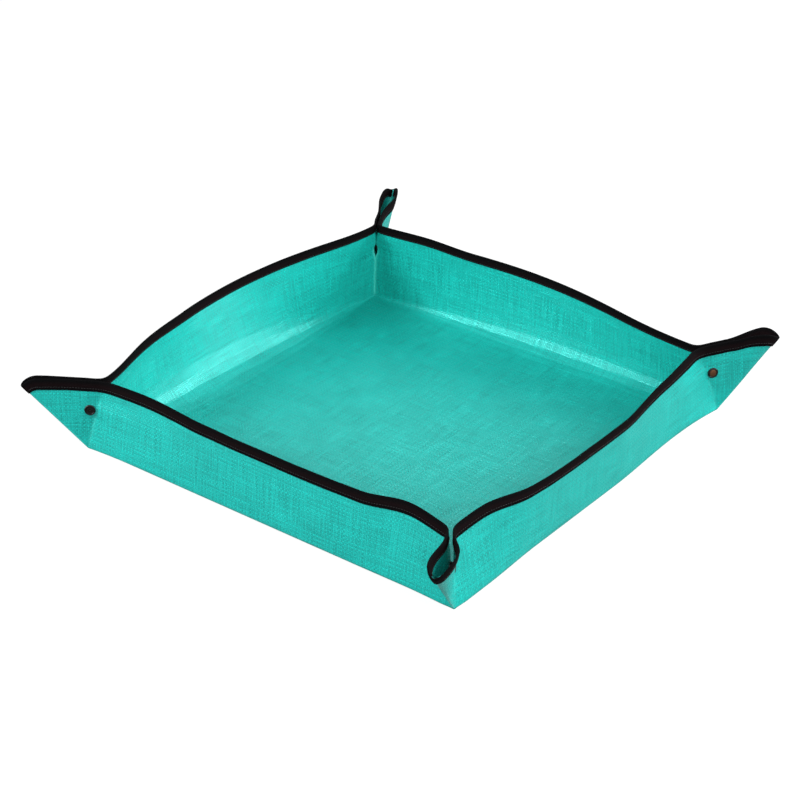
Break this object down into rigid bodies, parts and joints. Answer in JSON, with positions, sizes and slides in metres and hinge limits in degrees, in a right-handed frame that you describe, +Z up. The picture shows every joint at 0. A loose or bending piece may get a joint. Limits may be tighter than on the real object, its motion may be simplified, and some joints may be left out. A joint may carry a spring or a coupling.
{
  "type": "repotting mat",
  "caption": "Square waterproof potting mat: a tape-bound woven sheet whose corners snap together into ears, raising low walls round a flat floor.",
  "frame": {"origin": "under the middle of the floor, on its underside", "axes": "+Z up out of the tray, -Y towards the front wall, +X towards the right wall"},
  "size_m": [0.6138, 0.6483, 0.1107],
  "materials": {
    "coated_weave": "glossy coated weave",
    "binding_tape": "matt woven tape",
    "snap_cap": "antique copper",
    "snap_metal": "blackened"
  },
  "bodies": {
    "floor": {"floor_panel": "coated_weave"},
    "wall_front": {"binding_front": "binding_tape", "wall_front": "coated_weave"},
    "wall_right": {"binding_right": "binding_tape", "wall_right": "coated_weave"},
    "wall_back": {"binding_back": "binding_tape", "wall_back": "coated_weave"},
    "wall_left": {"binding_left": "binding_tape", "wall_left": "coated_weave"},
    "ear_front_right_front": {"binding_front_right_front": "binding_tape", "ear_front_right_front": "coated_weave", "snap_front_right_cap": "snap_cap", "snap_front_right_socket": "snap_metal"},
    "ear_front_right_right": {"binding_front_right_right": "binding_tape", "ear_front_right_right": "coated_weave", "snap_front_right_eyelet": "snap_metal", "snap_front_right_stud": "snap_metal"},
    "ear_back_right_right": {"binding_back_right_right": "binding_tape", "ear_back_right_right": "coated_weave", "snap_back_right_cap": "snap_cap", "snap_back_right_socket": "snap_metal"},
    "ear_back_right_back": {"binding_back_right_back": "binding_tape", "ear_back_right_back": "coated_weave", "snap_back_right_eyelet": "snap_metal", "snap_back_right_stud": "snap_metal"},
    "ear_back_left_back": {"binding_back_left_back": "binding_tape", "ear_back_left_back": "coated_weave", "snap_back_left_cap": "snap_cap", "snap_back_left_socket": "snap_metal"},
    "ear_back_left_left": {"binding_back_left_left": "binding_tape", "ear_back_left_left": "coated_weave", "snap_back_left_eyelet": "snap_metal", "snap_back_left_stud": "snap_metal"},
    "ear_front_left_left": {"binding_front_left_left": "binding_tape", "ear_front_left_left": "coated_weave", "snap_front_left_cap": "snap_cap", "snap_front_left_socket": "snap_metal"},
    "ear_front_left_front": {"binding_front_left_front": "binding_tape", "ear_front_left_front": "coated_weave", "snap_front_left_eyelet": "snap_metal", "snap_front_left_stud": "snap_metal"}
  },
  "joints": [
    {"name": "wall_front_fold", "type": "hinge", "parent": "floor", "child": "wall_front", "pos_m": [0, -0.255, 0.0008], "axis": [1, 0, 0], "range_deg": [0, 84.75]},
    {"name": "wall_right_fold", "type": "hinge", "parent": "floor", "child": "wall_right", "pos_m": [0.255, 0, 0.0008], "axis": [0, 1, 0], "range_deg": [0, 76.49]},
    {"name": "wall_back_fold", "type": "hinge", "parent": "floor", "child": "wall_back", "pos_m": [0.011, 0.244, 0.0008], "axis": [-0.999, -0.045, 0], "range_deg": [0, 82.5]},
    {"name": "wall_left_fold", "type": "hinge", "parent": "floor", "child": "wall_left", "pos_m": [-0.244, -0.011, 0.0008], "axis": [-0.045, -0.999, 0], "range_deg": [0, 66.45]},
    {"name": "ear_front_right_front_fold", "type": "hinge", "parent": "wall_front", "child": "ear_front_right_front", "pos_m": [0.25464, -0.25574, 0.00123], "axis": [-0.2046, 0.1639, 0.965], "range_deg": [0, 57.8]},
    {"name": "ear_front_right_right_fold", "type": "hinge", "parent": "wall_right", "child": "ear_front_right_right", "pos_m": [0.25574, -0.25463, 0.00123], "axis": [0.1639, -0.2046, -0.965], "range_deg": [0, 16.18]},
    {"name": "ear_back_right_right_fold", "type": "hinge", "parent": "wall_right", "child": "ear_back_right_right", "pos_m": [0.25571, 0.25462, 0.00128], "axis": [-0.2292, -0.2693, 0.9354], "range_deg": [0, 29.9]},
    {"name": "ear_back_right_back_fold", "type": "hinge", "parent": "wall_back", "child": "ear_back_right_back", "pos_m": [0.25459, 0.25571, 0.00128], "axis": [0.2693, 0.2292, -0.9354], "range_deg": [0, 49.88]},
    {"name": "ear_back_left_back_fold", "type": "hinge", "parent": "wall_back", "child": "ear_back_left_back", "pos_m": [-0.23268, 0.23376, 0.00119], "axis": [0.1458, -0.1131, 0.9828], "range_deg": [0, 54.22]},
    {"name": "ear_back_left_left_fold", "type": "hinge", "parent": "wall_left", "child": "ear_back_left_left", "pos_m": [-0.23376, 0.23269, 0.00119], "axis": [-0.1131, 0.1458, -0.9828], "range_deg": [0, 5.89]},
    {"name": "ear_front_left_left_fold", "type": "hinge", "parent": "wall_left", "child": "ear_front_left_left", "pos_m": [-0.25574, -0.25461, 0.00122], "axis": [0.1639, 0.2046, 0.965], "range_deg": [0, 40.22]},
    {"name": "ear_front_left_front_fold", "type": "hinge", "parent": "wall_front", "child": "ear_front_left_front", "pos_m": [-0.25464, -0.25574, 0.00123], "axis": [-0.2046, -0.1639, -0.965], "range_deg": [0, 40.58]}
  ],
  "couplings": [
    {"joint": "wall_right_fold", "follows": "wall_front_fold", "ratio": 0.9024},
    {"joint": "wall_back_fold", "follows": "wall_front_fold", "ratio": 0.9733},
    {"joint": "wall_left_fold", "follows": "wall_front_fold", "ratio": 0.7839},
    {"joint": "ear_front_right_front_fold", "follows": "wall_front_fold", "ratio": 0.6819},
    {"joint": "ear_front_right_right_fold", "follows": "wall_front_fold", "ratio": 0.1908},
    {"joint": "ear_back_right_right_fold", "follows": "wall_front_fold", "ratio": 0.3527},
    {"joint": "ear_back_right_back_fold", "follows": "wall_front_fold", "ratio": 0.5884},
    {"joint": "ear_back_left_back_fold", "follows": "wall_front_fold", "ratio": 0.6397},
    {"joint": "ear_back_left_left_fold", "follows": "wall_front_fold", "ratio": 0.0694},
    {"joint": "ear_front_left_left_fold", "follows": "wall_front_fold", "ratio": 0.4745},
    {"joint": "ear_front_left_front_fold", "follows": "wall_front_fold", "ratio": 0.4787}
  ]
}
